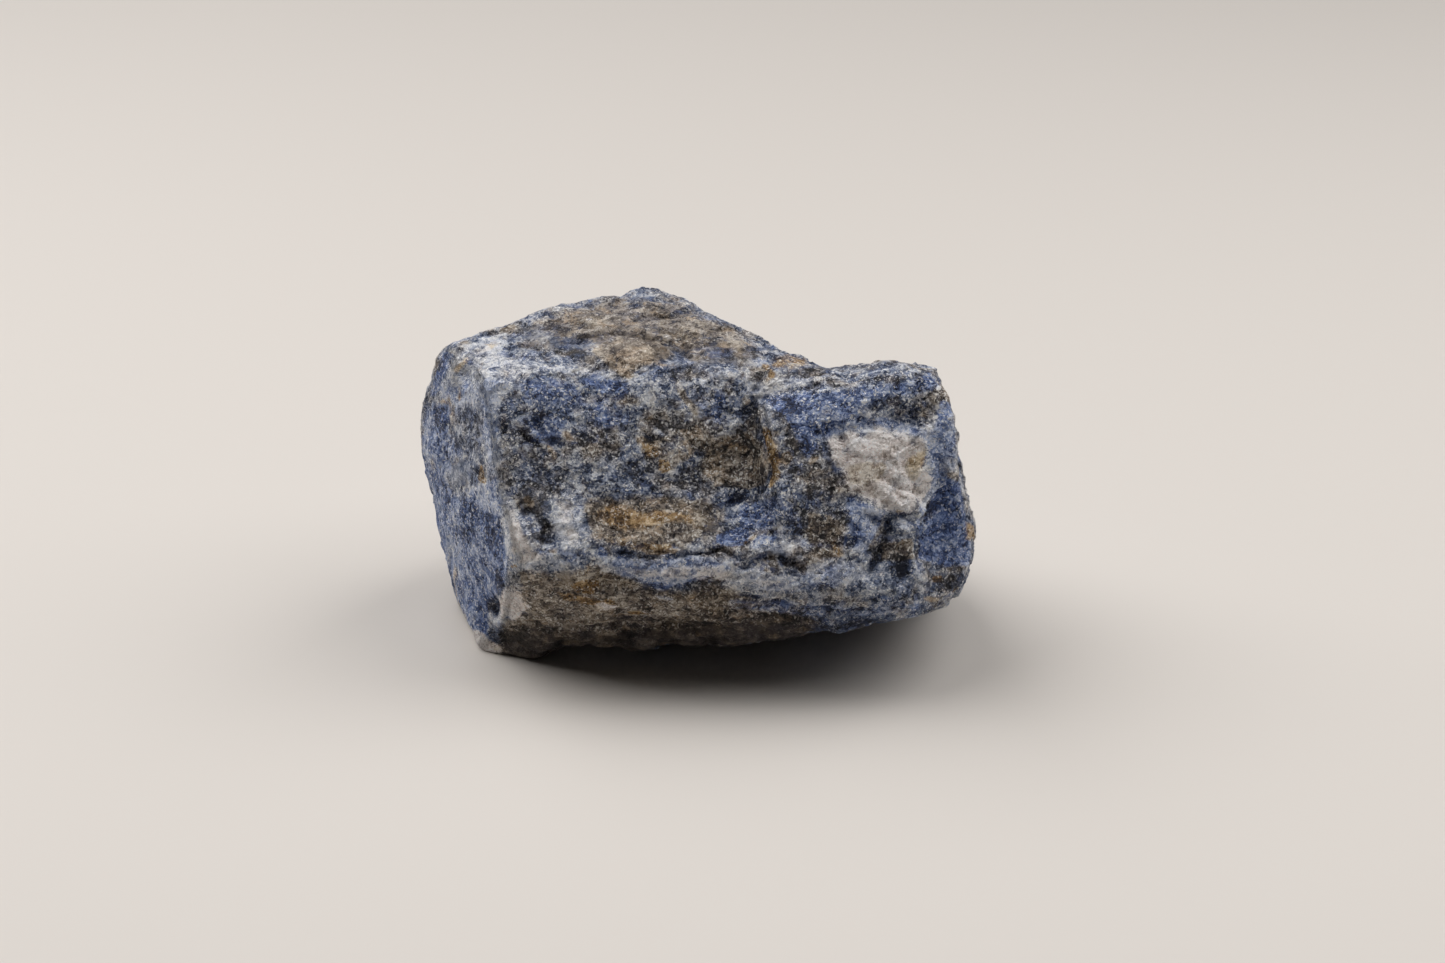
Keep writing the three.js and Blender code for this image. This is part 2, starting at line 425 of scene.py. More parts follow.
normals = near.smoothed(readNormals(stone.data), body["markPasses"])
shown = shownAt(points)
cut = sum(grooveCut(mark, points) for mark in grooves.values())
cut = cut + sum(scarpCut(mark, points, shown) for mark in scarps.values())
points = points - cut[:, None] * normals
points[:, 2] = points[:, 2].clip(0, None)
writePoints(stone.data, points)
print("stage: carved,", len(grooves), "grooves and", len(scarps), "scarps")

# The left face splits along upright streaks, and the rest of the stone along level ones.
uprightFace = {"turn": -90, "from": 0.45, "to": 0.75}


def keepAttribute(mesh, name, values):
    layer = mesh.attributes.new(name, "FLOAT", "POINT")
    layer.data.foreach_set("value", values.astype(np.float32))


calm = near.smoothed(readNormals(stone.data), body["facePasses"])
calm /= np.linalg.norm(calm, axis=1)[:, None]
turn = math.radians(uprightFace["turn"])
towards = np.array([math.sin(turn), -math.cos(turn), 0])
upright = shareBetween(calm @ towards, uprightFace["from"], uprightFace["to"])
keepAttribute(stone.data, "upright", upright)

relief = {
    "Chip size": 4.5,
    "Chip depth": 0.45,
    "Flake size": 2.0,
    "Flake depth": 0.3,
    "Ledge size": 5.0,
    "Ledge count": 9.0,  # levels over the whole range of the noise that they follow
    "Ledge depth": 0.2,
    "Layer spacing": 1.2,
    "Layer depth": 0.3,
    "Swell size": 3.2,
    "Swell depth": 0.25,
    "Grain size": 0.7,
    "Grain depth": 0.14,
    "Upright calm": 0.4,
    "Flat up to": 0.1,
    "Full from": 1.2,
    "Seed": 7.0,
}
streakTilt = 8  # degrees that the layers dip towards the right
layerLength = 7  # times as long as they are thick
seedStep = 9.7  # between the patterns of one seed and the next
bendLength = 2.4
ledgeSlope = (0.3, 0.6)
# Scale, detail and roughness of each noise.
reliefNoise = {"bend": (0.3, 2, 0.6), "ledge": (1, 3, 0.55), "layer": (1, 3, 0.6), "swell": (1, 2, 0.55)}


# The same place with its short way across the layers, for patterns that are drawn out along them.
def alongLayers(place, spacing, upright, length):
    values = {"Vector": place, "Angle": math.radians(streakTilt)}
    dipped = place.node("ShaderNodeVectorRotate", {"rotation_type": "Y_AXIS"}, values)
    level = dipped.scaled((1 / length, 1 / length, 1))
    tall = place.scaled((1, 1, 1 / length))
    return place.blend(upright, level, tall).over(spacing)


def reliefTree():
    tree = bpy.data.node_groups.new("broken relief", "GeometryNodeTree")
    tree.interface.new_socket("Geometry", in_out="INPUT", socket_type="NodeSocketGeometry")
    for name, value in relief.items():
        socket = tree.interface.new_socket(name, in_out="INPUT", socket_type="NodeSocketFloat")
        socket.default_value = value
    tree.interface.new_socket("Finish", in_out="INPUT", socket_type="NodeSocketMaterial")
    tree.interface.new_socket("Geometry", in_out="OUTPUT", socket_type="NodeSocketGeometry")

    start = Wire(tree)
    given = Wire(tree, tree.nodes.new("NodeGroupInput").outputs[0])
    upright = start.node("GeometryNodeInputNamedAttribute", values={"Name": "upright"})
    where = start.node("GeometryNodeInputPosition").scaled((1 / mm,) * 3)
    seed = given.other("Seed") * seedStep
    place = where.shifted(start.node("ShaderNodeCombineXYZ", values={n: seed for n in "XYZ"}))
    bent = place.shifted(place.noise(*reliefNoise["bend"]).other("Color").spread(bendLength))

    # Flat chips and flakes: each cell of the stone leans its own way.
    def chips(size, depth):
        spot = bent.over(size)
        cell = spot.cells(1.0)
        lean = cell.other("Color").spread(1)
        fromMiddle = spot.vectors("SUBTRACT", {0: spot, 1: cell.other("Position")})
        return fromMiddle.vectors("DOT_PRODUCT", {0: fromMiddle, 1: lean}, "Value") * depth

    def swells(size, depth):
        return place.over(size).noise(*reliefNoise["swell"]).centred() * depth

    # Small ledges: a slow noise cut into levels with short slopes between them.
    def ledges(size, count, depth):
        level = bent.over(size).noise(*reliefNoise["ledge"]) * count
        floor = level.maths("FLOOR", level)
        return (floor + (level - floor).ramped(*ledgeSlope) - count * 0.5) * depth

    def inputs(*names):
        return [given.other(n) for n in names]

    layers = alongLayers(bent, given.other("Layer spacing"), upright, layerLength)
    height = layers.noise(*reliefNoise["layer"]).centred() * given.other("Layer depth")
    for name in ("Chip", "Flake"):
        height = height + chips(*inputs(name + " size", name + " depth"))
    for name in ("Swell", "Grain"):
        height = height + swells(*inputs(name + " size", name + " depth"))
    height = height + ledges(*inputs("Ledge size", "Ledge count", "Ledge depth"))
    level = start.node("ShaderNodeSeparateXYZ", values={0: where}, output=2)
    height = height * level.ramped(*inputs("Flat up to", "Full from"))
    height = height * (1 - upright * given.other("Upright calm")) * mm
    normal = start.node("GeometryNodeInputNormal")
    offset = normal.vectors("SCALE", {0: normal, "Scale": height})
    values = {"Geometry": given.other("Geometry"), "Offset": offset}
    moved = start.node("GeometryNodeSetPosition", values=values)
    whole = start.node("GeometryNodeRealizeInstances", values={0: moved})
    values = {"Geometry": whole, "Material": given.other("Finish")}
    done = start.node("GeometryNodeSetMaterial", values=values)
    tree.links.new(done.socket, tree.nodes.new("NodeGroupOutput").inputs[0])
    return tree


def addRelief(thing, finish):
    tree = reliefTree()
    modifier = thing.modifiers.new("relief", "NODES")
    modifier.node_group = tree
    sockets = {item.name: item.identifier for item in tree.interface.items_tree if item.in_out == "INPUT"}
    for name, value in relief.items():
        modifier[sockets[name]] = value
    modifier[sockets["Finish"]] = finish
    baked(thing)


quartz = bpy.data.materials.new("blue quartz")
addRelief(stone, quartz)
points = readPoints(stone.data)
print("stage: relief, from", points.min(0).round(2), "to", points.max(0).round(2))

# How far each point stands out of the stone smoothed over: above 0 on edges and below 0 in cracks. The
# material pales the edges with it, partly as wear and partly as painted highlight, and darkens cracks and
# hollows as painted shade.
wearAndShade = {
    "edge": {"passes": 60, "full": 0.9},  # millimetres at which an edge is fully worn
    "crest": {"passes": 8, "full": 0.16},
}
wearAndShadeLimits = (-0.9, 1.5)
wearAndShadeBlur = 2
near = Neighbours(stone.data)
normals = readNormals(stone.data)
for name, kind in wearAndShade.items():
    height = np.einsum("ij,ij->i", points - near.smoothed(points, kind["passes"]), normals)
    wornAndShaded = near.smoothed(height[:, None] / kind["full"], wearAndShadeBlur)[:, 0]
    keepAttribute(stone.data, name, wornAndShaded.clip(*wearAndShadeLimits))


# An area is an outline in the camera's frame. It fades over `soft` millimetres on each side of its edge.
def area(soft, strength, *corners):
    return {"area": corners, "soft": soft, "strength": strength}


# A streak follows points of the camera's frame, and fades over `reach` millimetres to each side.
def streak(reach, strength, *points):
    return {"seen": points, "reach": reach, "strength": strength}


# The same at places in millimetres, for the sides that the camera doesn't show.
def hidden(reach, strength, *places):
    return {"at": places, "reach": reach, "strength": strength}


# Where each colour of the stone lies, and where shade is painted into it: the dark family holds the stone's
# own dark patches and painted shade.
stainsAndShade = {
    "pale": {
        "topCorner": area(0.8, 0.72, (436, 402), (442, 378), (452, 358), (466, 344), (484, 334), (506, 332),
            (512, 348), (502, 366), (500, 398), (486, 408), (466, 402), (452, 408)),
        "top": area(2, 0.36, (510, 330), (600, 290), (680, 290), (760, 340), (740, 356), (660, 340),
            (580, 345)),
        "haze": area(0.6, 0.65, (490, 358), (520, 357), (560, 364), (604, 369), (622, 378), (604, 385),
            (575, 377), (545, 370), (522, 378), (506, 396), (492, 400)),
        "leftOutline": streak(1.3, 0.55, (428, 425), (430, 480), (440, 540), (456, 590), (466, 640)),
        "topEdge": streak(0.7, 0.65, (622, 384), (652, 382), (680, 384), (704, 378), (728, 374),
            (752, 384)),
        "leftEdge": area(0.6, 0.75, (480, 392), (502, 392), (500, 420), (503, 450), (498, 480), (510, 500),
            (522, 540), (518, 566), (506, 566), (502, 530), (494, 490), (486, 466), (482, 430)),
        "leftFace": area(2, 0.5, (424, 400), (450, 392), (484, 404), (492, 450), (492, 500), (470, 530),
            (446, 520), (434, 500), (420, 450)),
        "leftFoot": area(1.5, 0.4, (440, 520), (470, 524), (500, 540), (500, 600), (484, 640), (460, 620)),
        "leftRidge": area(0.7, 0.6, (451, 536), (464, 544), (463, 578), (456, 590), (446, 560)),
        "leftSide": area(0.6, 0.5, (478, 486), (494, 482), (500, 500), (496, 514), (480, 512)),
        "leftBody": area(0.5, 1.1, (502, 494), (514, 500), (524, 520), (534, 546), (556, 547), (578, 558),
            (548, 564), (516, 572), (510, 556), (512, 536), (505, 515)),
        "rightOfPit": area(1.1, 0.9, (550, 500), (566, 496), (584, 500), (583, 520), (592, 536), (584, 552),
            (562, 548), (557, 530), (552, 512)),
        "faceCentre": area(0.6, 0.45, (583, 470), (600, 462), (606, 480), (596, 496), (580, 500),
            (556, 494), (560, 480)),
        "lip": area(0.6, 1.4, (598, 556), (640, 561), (670, 561), (692, 557), (722, 559), (740, 570),
            (760, 572), (778, 576), (800, 578), (796, 588), (770, 590), (742, 586), (726, 580), (712, 575),
            (694, 580), (672, 584), (650, 580), (628, 577), (602, 570)),
        "lipRight": area(0.7, 1.1, (806, 566), (822, 558), (846, 560), (864, 566), (870, 580), (850, 584),
            (812, 582)),
        "blueShelf": streak(0.6, 0.8, (753, 548), (768, 546), (780, 542), (790, 547)),
        "aboveCrack": streak(0.55, 0.6, (688, 547), (704, 548), (716, 543)),
        "aboveArc": streak(0.7, 0.5, (776, 522), (784, 534), (800, 540), (812, 550)),
        "stepCorner": streak(0.9, 1.1, (755, 396), (760, 390), (772, 387)),
        "rim": streak(0.6, 0.95, (770, 385), (808, 382), (835, 375), (862, 368), (900, 364), (928, 370),
            (940, 386)),
        "aroundCrust": area(1.2, 0.45, (820, 440), (832, 425), (852, 416), (884, 414), (900, 424),
            (930, 425), (930, 500), (918, 514), (880, 516), (850, 510), (836, 488)),
        "besideCrust": area(0.5, 1.1, (926, 428), (940, 418), (951, 428), (955, 450), (958, 472),
            (946, 472), (938, 486), (933, 498), (921, 504), (915, 492), (919, 480), (927, 464)),
        "crustTop": area(0.5, 1, (826, 436), (842, 425), (866, 414), (884, 410), (896, 424), (930, 430),
            (938, 440), (912, 440), (880, 432), (850, 434)),
        "rib": streak(0.45, 0.9, (938, 490), (922, 505), (922, 528), (916, 548), (915, 572)),
        "paleBlock": area(0.4, 0.8, (896, 519), (914, 513), (922, 520), (917, 532), (904, 536), (897, 529)),
        "underCrust": area(0.5, 1, (853, 505), (866, 510), (880, 514), (876, 530), (868, 548), (862, 560),
            (856, 545), (862, 525), (850, 518)),
        "rightRim": streak(0.8, 0.7, (962, 486), (970, 505), (975, 545), (973, 562)),
        "footStrip": streak(0.8, 0.4, (512, 566), (516, 580), (512, 594)),
        "underHole": streak(0.5, 0.8, (489, 618), (500, 620)),
        "lowerLine": streak(0.25, 0.8, (655, 597), (672, 599)),
        "whiteSpot": streak(0.4, 1, (645, 428), (647, 430)),
        "whiteFlecks": streak(0.5, 0.7, (655, 430), (662, 433)),
        "faceFleck": streak(0.45, 0.8, (588, 458), (591, 464)),
        "leftFaceA": area(0.4, 0.7, (453, 506), (462, 504), (464, 516), (458, 524), (451, 516)),
        "leftFaceB": streak(0.5, 0.8, (467, 528), (470, 532)),
        "leftFaceC": streak(0.4, 0.9, (468, 568), (469, 578)),
        "backShoulder": hidden(2.6, 0.6, (-4, 17, 25), (-12, 16, 17), (-9, 17, 8)),
        "backRight": hidden(2.2, 0.6, (16, 10, 22), (20, 9, 12)),
        "leftBack": hidden(2, 0.6, (-22, 8, 22), (-24, 6, 12)),
    },
    # Darker places: the stone's own dark grains and patches, and painted shade in the step, the pits, cracks
    # and hollows and under the stone.
    "dark": {
        # Painted shadow: stepTop in the corner of the step, recess over its own dark brown, and stepLine
        # along the step's edge.
        "stepTop": area(0.7, 0.32, (741, 398), (752, 400), (758, 416), (760, 432), (752, 446), (742, 440),
            (740, 420)),
        "recess": area(0.7, 0.4, (720, 446), (745, 440), (764, 444), (769, 462), (767, 482), (750, 486),
            (738, 486), (722, 480)),
        "recessFoot": area(0.4, 0.4, (728, 494), (744, 490), (742, 500), (734, 505), (724, 504)),
        "stepLine": streak(0.6, 0.9, (757, 418), (762, 436), (768, 452), (768, 476), (762, 490),
            (746, 495)),
        "navyTop": area(0.8, 0.5, (520, 378), (545, 372), (575, 380), (590, 395), (575, 408), (545, 404),
            (522, 398)),
        "navyLeft": streak(0.6, 0.7, (500, 416), (504, 422)),
        "navyMiddle": streak(0.5, 0.7, (522, 418), (526, 422)),
        "faceFoot": area(0.5, 0.6, (640, 478), (668, 476), (690, 482), (700, 494), (672, 500), (650, 496)),
        # Painted shade in the pit, the long slit and the hole of the foot (leftPit, longSlit, hole).
        "leftPit": area(0.5, 0.6, (521, 506), (533, 505), (542, 511), (550, 520), (554, 532), (553, 542),
            (541, 544), (533, 541), (538, 529), (534, 519), (526, 514)),
        "longSlit": area(0.2, 1, (522, 432), (532, 436), (542, 445), (540, 449), (532, 447), (525, 440)),
        "hole": area(0.3, 1.2, (486, 600), (494, 596), (502, 602), (500, 610), (494, 614), (486, 612)),
        "holeAbove": streak(0.5, 0.7, (496, 588), (503, 584), (500, 594)),
        # Painted shade in the shoulder's hollow, along the crust's cracks, folds and foot (crustSplit to
        # crustEdge), and in the fissure.
        "shoulderHollow": area(0.5, 0.4, (887, 416), (900, 407), (915, 400), (930, 397), (941, 404),
            (942, 415), (930, 420), (922, 430), (910, 428), (897, 424)),
        "crustSplit": streak(0.32, 0.75, (898, 452), (906, 468), (913, 486), (919, 508)),
        "crustSlit": streak(0.28, 0.8, (843, 439), (848, 450), (849, 460)),
        "crustSlot": streak(0.4, 0.5, (826, 436), (838, 437)),
        "crustFold": streak(0.3, 0.55, (884, 486), (892, 492), (897, 500)),
        "crustVein": streak(0.3, 0.6, (858, 470), (870, 465), (880, 467)),
        "crustEdge": streak(0.4, 0.6, (874, 507), (890, 512), (904, 514)),
        "fissure": area(0.5, 0.5, (871, 550), (884, 520), (891, 514), (897, 521), (889, 536), (885, 550),
            (878, 566), (865, 578), (861, 574), (871, 561)),
        "ribBlock": area(0.5, 0.9, (888, 556), (905, 548), (912, 552), (914, 575), (896, 580), (888, 572)),
        "ribTop": streak(0.7, 0.6, (884, 548), (900, 543), (912, 538)),
        # Painted shade in the right hollow.
        "rightHollow": area(0.6, 0.45, (945, 476), (956, 480), (961, 494), (958, 512), (950, 532),
            (930, 548), (919, 548), (920, 526), (926, 508), (936, 497)),
        "shoulderSide": area(0.7, 0.45, (770, 398), (790, 398), (800, 412), (800, 424), (814, 440),
            (816, 452), (790, 452), (776, 440), (770, 425)),
        "bandNavy": area(0.5, 0.65, (770, 400), (784, 396), (800, 402), (798, 416), (784, 418), (772, 410)),
        "bandMiddle": area(0.5, 0.5, (822, 388), (850, 386), (856, 396), (838, 402), (824, 398)),
        "blueShelf": area(1.2, 0.42, (772, 440), (800, 430), (822, 450), (848, 490), (856, 520), (850, 545),
            (810, 545), (745, 530), (745, 505), (772, 490)),
        "rightFoot": area(0.5, 0.7, (918, 582), (940, 576), (962, 570), (966, 578), (955, 592), (930, 594)),
        # Painted shadow in the pocket under the arc, and painted shade in the crack (crackBlue).
        "arcPocket": area(0.5, 0.45, (778, 558), (790, 557), (803, 565), (803, 574), (788, 577),
            (779, 570)),
        "crackBlue": streak(0.4, 0.7, (615, 553), (625, 551), (634, 556)),
        "leftRim": area(0.3, 0.8, (447, 352), (440, 362), (435, 378), (440, 380), (444, 368), (449, 357)),
        # Painted shade in the corner pit.
        "cornerPit": streak(0.6, 1, (462, 373), (464, 380)),
        "leftMiddle": area(0.6, 0.8, (448, 408), (468, 404), (480, 418), (482, 445), (470, 456), (450, 450),
            (460, 430)),
        "leftHigh": area(0.4, 0.7, (434, 408), (447, 403), (450, 416), (446, 430), (433, 434)),
        "leftCentre": area(0.6, 0.7, (458, 508), (472, 502), (476, 520), (474, 542), (462, 540),
            (456, 524)),
        "leftGrain": area(0.5, 0.5, (443, 486), (464, 488), (456, 506), (444, 508)),
        "besideRust": area(0.3, 0.9, (470, 460), (478, 464), (478, 488), (470, 484)),
        "behindRust": area(0.3, 0.9, (488, 460), (497, 464), (496, 482), (487, 480)),
        "leftInside": area(0.5, 0.7, (486, 514), (500, 514), (505, 545), (503, 562), (492, 556),
            (484, 535)),
        "aboveHole": area(0.4, 0.8, (494, 568), (504, 570), (503, 594), (496, 596)),
        "leftSpot": streak(0.6, 0.7, (466, 500), (472, 508)),
        "besideEdge": streak(0.7, 0.6, (500, 528), (496, 552), (500, 566)),
        # Painted shade on the underside, which faces down towards the floor.
        "underside": area(1, 0.75, (486, 626), (540, 622), (600, 632), (650, 626), (700, 616), (760, 612),
            (830, 618), (900, 612), (890, 630), (830, 645), (600, 665), (486, 665)),
        "topA": area(0.4, 0.7, (566, 350), (580, 347), (594, 354), (580, 360), (566, 357)),
        "topB": streak(0.7, 0.6, (502, 352), (530, 356), (548, 358)),
        "topC": streak(1.2, 0.4, (660, 348), (680, 345), (700, 356)),
        "behindShoulder": streak(0.8, 0.7, (800, 372), (815, 370)),
        "back": hidden(2.2, 0.5, (-10, 17, 13), (-5, 18, 15), (0, 17, 12)),
        "backRight": hidden(2, 0.5, (10, 15, 8), (16, 13, 7)),
        "rightSide": hidden(1.8, 0.5, (26, 0, 10), (25, 4, 8)),
        "leftSide": hidden(2, 0.45, (-26, 5, 17), (-25, 8, 14)),
    },
    "blue": {
        "leftLower": area(1.2, 1.1, (430, 470), (448, 490), (462, 500), (478, 488), (496, 478), (502, 500),
            (500, 530), (508, 560), (500, 590), (484, 600), (484, 640), (466, 640), (448, 570), (434, 520)),
        "leftUpper": area(1.4, 0.7, (428, 408), (446, 398), (456, 414), (450, 436), (464, 452), (446, 470),
            (444, 488), (430, 480), (424, 440)),
        "leftSide": hidden(4, 0.6, (-26, 0, 18), (-25, 6, 12), (-24, 2, 5)),
        "leftEdge": area(0.6, 0.7, (482, 400), (498, 412), (500, 440), (500, 462), (488, 462), (480, 430)),
        "navyTop": area(0.9, 0.45, (520, 376), (548, 372), (576, 384), (582, 404), (540, 410), (512, 400)),
        "face": area(1.4, 0.36, (505, 378), (600, 384), (626, 400), (606, 440), (562, 450), (540, 492),
            (510, 482), (498, 420)),
        "faceTop": streak(1, 0.8, (590, 378), (606, 384), (622, 388)),
        "faceMiddle": streak(1.2, 0.6, (604, 418), (624, 420)),
        "facePale": streak(1.2, 0.6, (540, 430), (552, 428)),
        "faceRight": area(0.9, 0.5, (684, 388), (724, 378), (732, 400), (728, 430), (708, 436), (694, 412)),
        "leftFoot": area(0.8, 1, (462, 560), (484, 566), (500, 580), (486, 610), (486, 636), (472, 636)),
        "band": area(0.9, 0.75, (764, 400), (792, 392), (830, 390), (862, 384), (905, 378), (930, 370),
            (944, 384), (930, 394), (900, 396), (872, 406), (850, 420), (826, 432), (800, 424), (780, 416)),
        "shoulderSide": area(0.7, 0.7, (788, 418), (822, 424), (820, 446), (808, 462), (796, 448)),
        "crustTop": area(0.7, 0.65, (820, 424), (850, 414), (886, 416), (926, 428), (940, 440), (930, 446),
            (912, 436), (880, 430), (850, 432), (826, 440)),
        "crustGroove": streak(0.8, 0.45, (824, 449), (831, 462), (839, 474)),
        "crustRight": area(0.6, 0.65, (926, 432), (948, 424), (956, 456), (944, 474), (938, 488),
            (926, 500), (920, 488), (928, 470)),
        "underCrust": area(0.6, 0.7, (846, 492), (872, 504), (886, 512), (876, 536), (864, 560), (852, 540),
            (846, 515)),
        "paleBlock": streak(1, 0.6, (902, 524), (914, 526)),
        "shoulderRight": area(0.6, 0.8, (940, 400), (953, 402), (956, 450), (955, 470), (940, 472),
            (932, 440)),
        "hollow": area(0.6, 1, (945, 476), (960, 482), (966, 520), (972, 548), (970, 566), (944, 566),
            (918, 560), (919, 526), (928, 506)),
        "shelfA": area(0.35, 1, (716, 535), (728, 530), (742, 527), (750, 536), (742, 545), (728, 547),
            (716, 543)),
        "shelfB": area(0.3, 1, (752, 540), (764, 535), (776, 538), (770, 546), (754, 548)),
        "shelfC": area(0.7, 0.7, (738, 506), (772, 498), (780, 515), (764, 526), (740, 522)),
        "shelf": area(1, 0.45, (738, 508), (772, 496), (800, 500), (812, 540), (850, 530), (856, 556),
            (800, 552), (740, 548)),
        "spotA": streak(0.55, 1, (566, 556), (572, 557)),
        "spotB": streak(0.55, 1.1, (600, 546), (603, 553)),
        "spotC": streak(0.5, 0.7, (538, 552), (544, 554)),
        "spotD": streak(0.45, 0.9, (620, 558), (624, 560)),
        "lip": area(0.7, 0.8, (604, 560), (640, 560), (690, 556), (720, 560), (736, 570), (716, 576),
            (692, 582), (660, 592), (644, 584), (616, 574)),
        "lipMiddle": area(0.6, 0.5, (738, 574), (760, 572), (790, 578), (830, 560), (862, 566), (840, 590),
            (780, 596), (744, 588)),
        "lowerRight": area(0.6, 0.5, (720, 596), (780, 598), (850, 604), (920, 600), (936, 610), (880, 618),
            (800, 618), (730, 610)),
        "corner": area(1, 0.55, (444, 384), (470, 380), (500, 376), (500, 404), (476, 410), (446, 406)),
        "leftRim": area(0.5, 0.8, (446, 350), (456, 356), (446, 376), (440, 392), (430, 396), (438, 366)),
        "cornerSpot": streak(0.6, 0.8, (460, 377), (466, 377)),
        "top": streak(1.6, 0.5, (700, 350), (725, 352)),
        "rightSide": hidden(3.5, 0.7, (27, -4, 20), (27, 4, 12)),
        "back": hidden(4, 0.7, (2, 18, 14), (-14, 17, 10)),
    },
    "brown": {
        "recess": area(0.7, 0.9, (708, 440), (745, 432), (764, 442), (770, 462), (767, 486), (745, 490),
            (715, 486), (700, 470)),
        "stepTop": streak(0.7, 0.7, (748, 400), (752, 425)),
        "faceSide": area(0.8, 0.6, (636, 438), (700, 425), (712, 445), (690, 462), (668, 476), (640, 462)),
        "shelf": area(2, 1.05, (582, 504), (610, 498), (650, 498), (700, 500), (716, 512), (700, 530),
            (682, 548), (650, 550), (616, 546), (592, 538)),
        "greyShelf": area(1.4, 0.45, (690, 510), (726, 506), (734, 520), (712, 544), (684, 540)),
        "faceLine": streak(0.9, 0.6, (582, 400), (604, 396), (636, 400)),
        "spur": streak(0.5, 0.9, (676, 380), (684, 396), (696, 412)),
        "lower": area(1.3, 1, (516, 568), (560, 574), (600, 566), (640, 584), (676, 592), (730, 588),
            (760, 600), (820, 622), (800, 650), (600, 670), (490, 660), (500, 636), (506, 620), (524, 612)),
        "rightOfArc": area(0.5, 0.8, (808, 512), (830, 514), (844, 536), (846, 556), (830, 560), (814, 552),
            (806, 534)),
        "hollow": streak(1.2, 0.8, (900, 416), (925, 410)),
        "bandLeft": streak(0.7, 0.8, (800, 400), (806, 410)),
        "bandFoot": streak(0.6, 0.8, (828, 414), (846, 419)),
        "ribBlock": area(0.4, 0.8, (880, 542), (900, 540), (914, 536), (916, 560), (900, 562), (882, 560)),
        "top": area(1.6, 0.68, (520, 320), (600, 298), (680, 296), (740, 330), (760, 352), (700, 362),
            (640, 350), (560, 345)),
        "topPink": area(0.6, 0.9, (592, 350), (628, 338), (662, 344), (668, 358), (640, 367), (628, 382),
            (614, 372), (600, 362)),
        "wall": streak(0.9, 0.5, (776, 434), (780, 462), (776, 480)),
        "backFoot": hidden(3.5, 0.8, (8, 16, 6), (-6, 18, 5)),
        "leftBack": hidden(3, 0.6, (-24, 4, 20), (-22, 9, 15)),
    },
    "tan": {
        "topPink": area(0.5, 0.7, (600, 356), (626, 348), (654, 352), (656, 361), (636, 368), (632, 380),
            (618, 374)),
        "topSpots": streak(0.6, 0.8, (636, 349), (644, 350)),
        "topLow": streak(0.6, 0.6, (660, 363), (668, 366)),
        "topRight": streak(0.6, 0.6, (692, 350), (706, 352)),
        "starA": area(0.2, 1, (676, 427), (690, 430), (697, 424), (702, 432), (706, 437), (694, 438),
            (682, 434)),
        "starB": area(0.2, 1, (704, 460), (710, 464), (717, 466), (720, 474), (710, 477), (704, 474),
            (708, 468)),
        "starC": streak(0.5, 0.8, (686, 444), (694, 450), (690, 456)),
        "starE": streak(0.4, 0.8, (646, 424), (652, 418)),
        "starD": streak(0.35, 0.7, (720, 444), (730, 438)),
        "nearRust": streak(0.6, 0.9, (640, 440), (652, 444), (658, 452)),
        "shelfA": area(0.25, 1.1, (614, 508), (622, 503), (632, 508), (630, 516), (620, 516)),
        "shelfB": streak(0.6, 0.8, (640, 506), (664, 500)),
        "shelfC": area(0.3, 0.8, (678, 504), (690, 504), (692, 511), (680, 513)),
        "shelfD": streak(0.5, 0.9, (598, 518), (604, 520)),
        "shelfE": area(0.25, 0.9, (638, 546), (652, 547), (668, 549), (680, 548), (676, 554), (646, 555)),
        "shelfF": streak(0.6, 0.6, (620, 536), (640, 538), (658, 532)),
        "pitTop": streak(0.5, 1, (527, 500), (530, 504)),
        "pitFoot": streak(0.5, 0.7, (546, 546), (554, 550)),
        "slit": streak(0.5, 0.9, (548, 448), (555, 456)),
        "nearSlit": streak(0.55, 0.8, (566, 434), (570, 438)),
        "recessFoot": streak(0.4, 0.9, (746, 488), (752, 491), (762, 488)),
        "wall": area(0.3, 0.9, (780, 454), (790, 450), (793, 458), (788, 465), (780, 462)),
        "wallLine": streak(0.35, 0.8, (772, 452), (774, 480)),
        "ridgeA": streak(0.35, 0.8, (811, 462), (816, 458)),
        "crustVein": streak(0.55, 1, (856, 472), (866, 468), (880, 468)),
        "crustCorner": area(0.6, 0.95, (905, 462), (916, 454), (924, 452), (923, 470), (914, 482),
            (906, 474)),
        "crustWarm": area(0.9, 0.8, (844, 466), (866, 462), (884, 466), (880, 484), (862, 490), (848, 484)),
        "crustFold": streak(0.4, 0.5, (888, 482), (896, 490), (902, 498)),
        "crustFoot": streak(0.3, 0.9, (896, 512), (908, 511)),
        "lowerRight": streak(0.5, 0.6, (700, 606), (712, 610), (716, 616)),
        "footSide": streak(0.35, 0.8, (524, 604), (526, 612)),
        "underRib": streak(0.4, 0.8, (926, 598), (938, 600)),
        "fissureFoot": streak(0.35, 0.7, (886, 578), (888, 588)),
        "blueShelf": streak(0.3, 0.8, (750, 540), (756, 536)),
        "back": hidden(1.2, 0.8, (-2, 17, 20), (3, 16, 22)),
        "backLow": hidden(1.4, 0.8, (-14, 17, 6), (-10, 18, 5)),
        "rightBack": hidden(1.1, 0.8, (24, 4, 18), (23, 7, 15)),
        "left": hidden(0.9, 0.7, (-26, 0, 16), (-26, 2, 12)),
        "leftOutline": streak(1, 0.6, (450, 570), (458, 600), (466, 628)),
        "leftHigh": streak(1, 0.5, (450, 400), (454, 424)),
    },
    "ochre": {
        "behindShoulder": area(0.8, 0.6, (768, 358), (790, 350), (806, 356), (812, 366), (790, 372),
            (770, 368)),
        "stepLine": streak(0.8, 1.2, (764, 434), (770, 448), (773, 462), (772, 480)),
        "lowerYellow": area(0.35, 0.8, (556, 592), (578, 594), (604, 601), (594, 606), (562, 600)),
        "rightEdge": area(0.8, 0.9, (966, 522), (975, 526), (977, 541), (966, 540)),
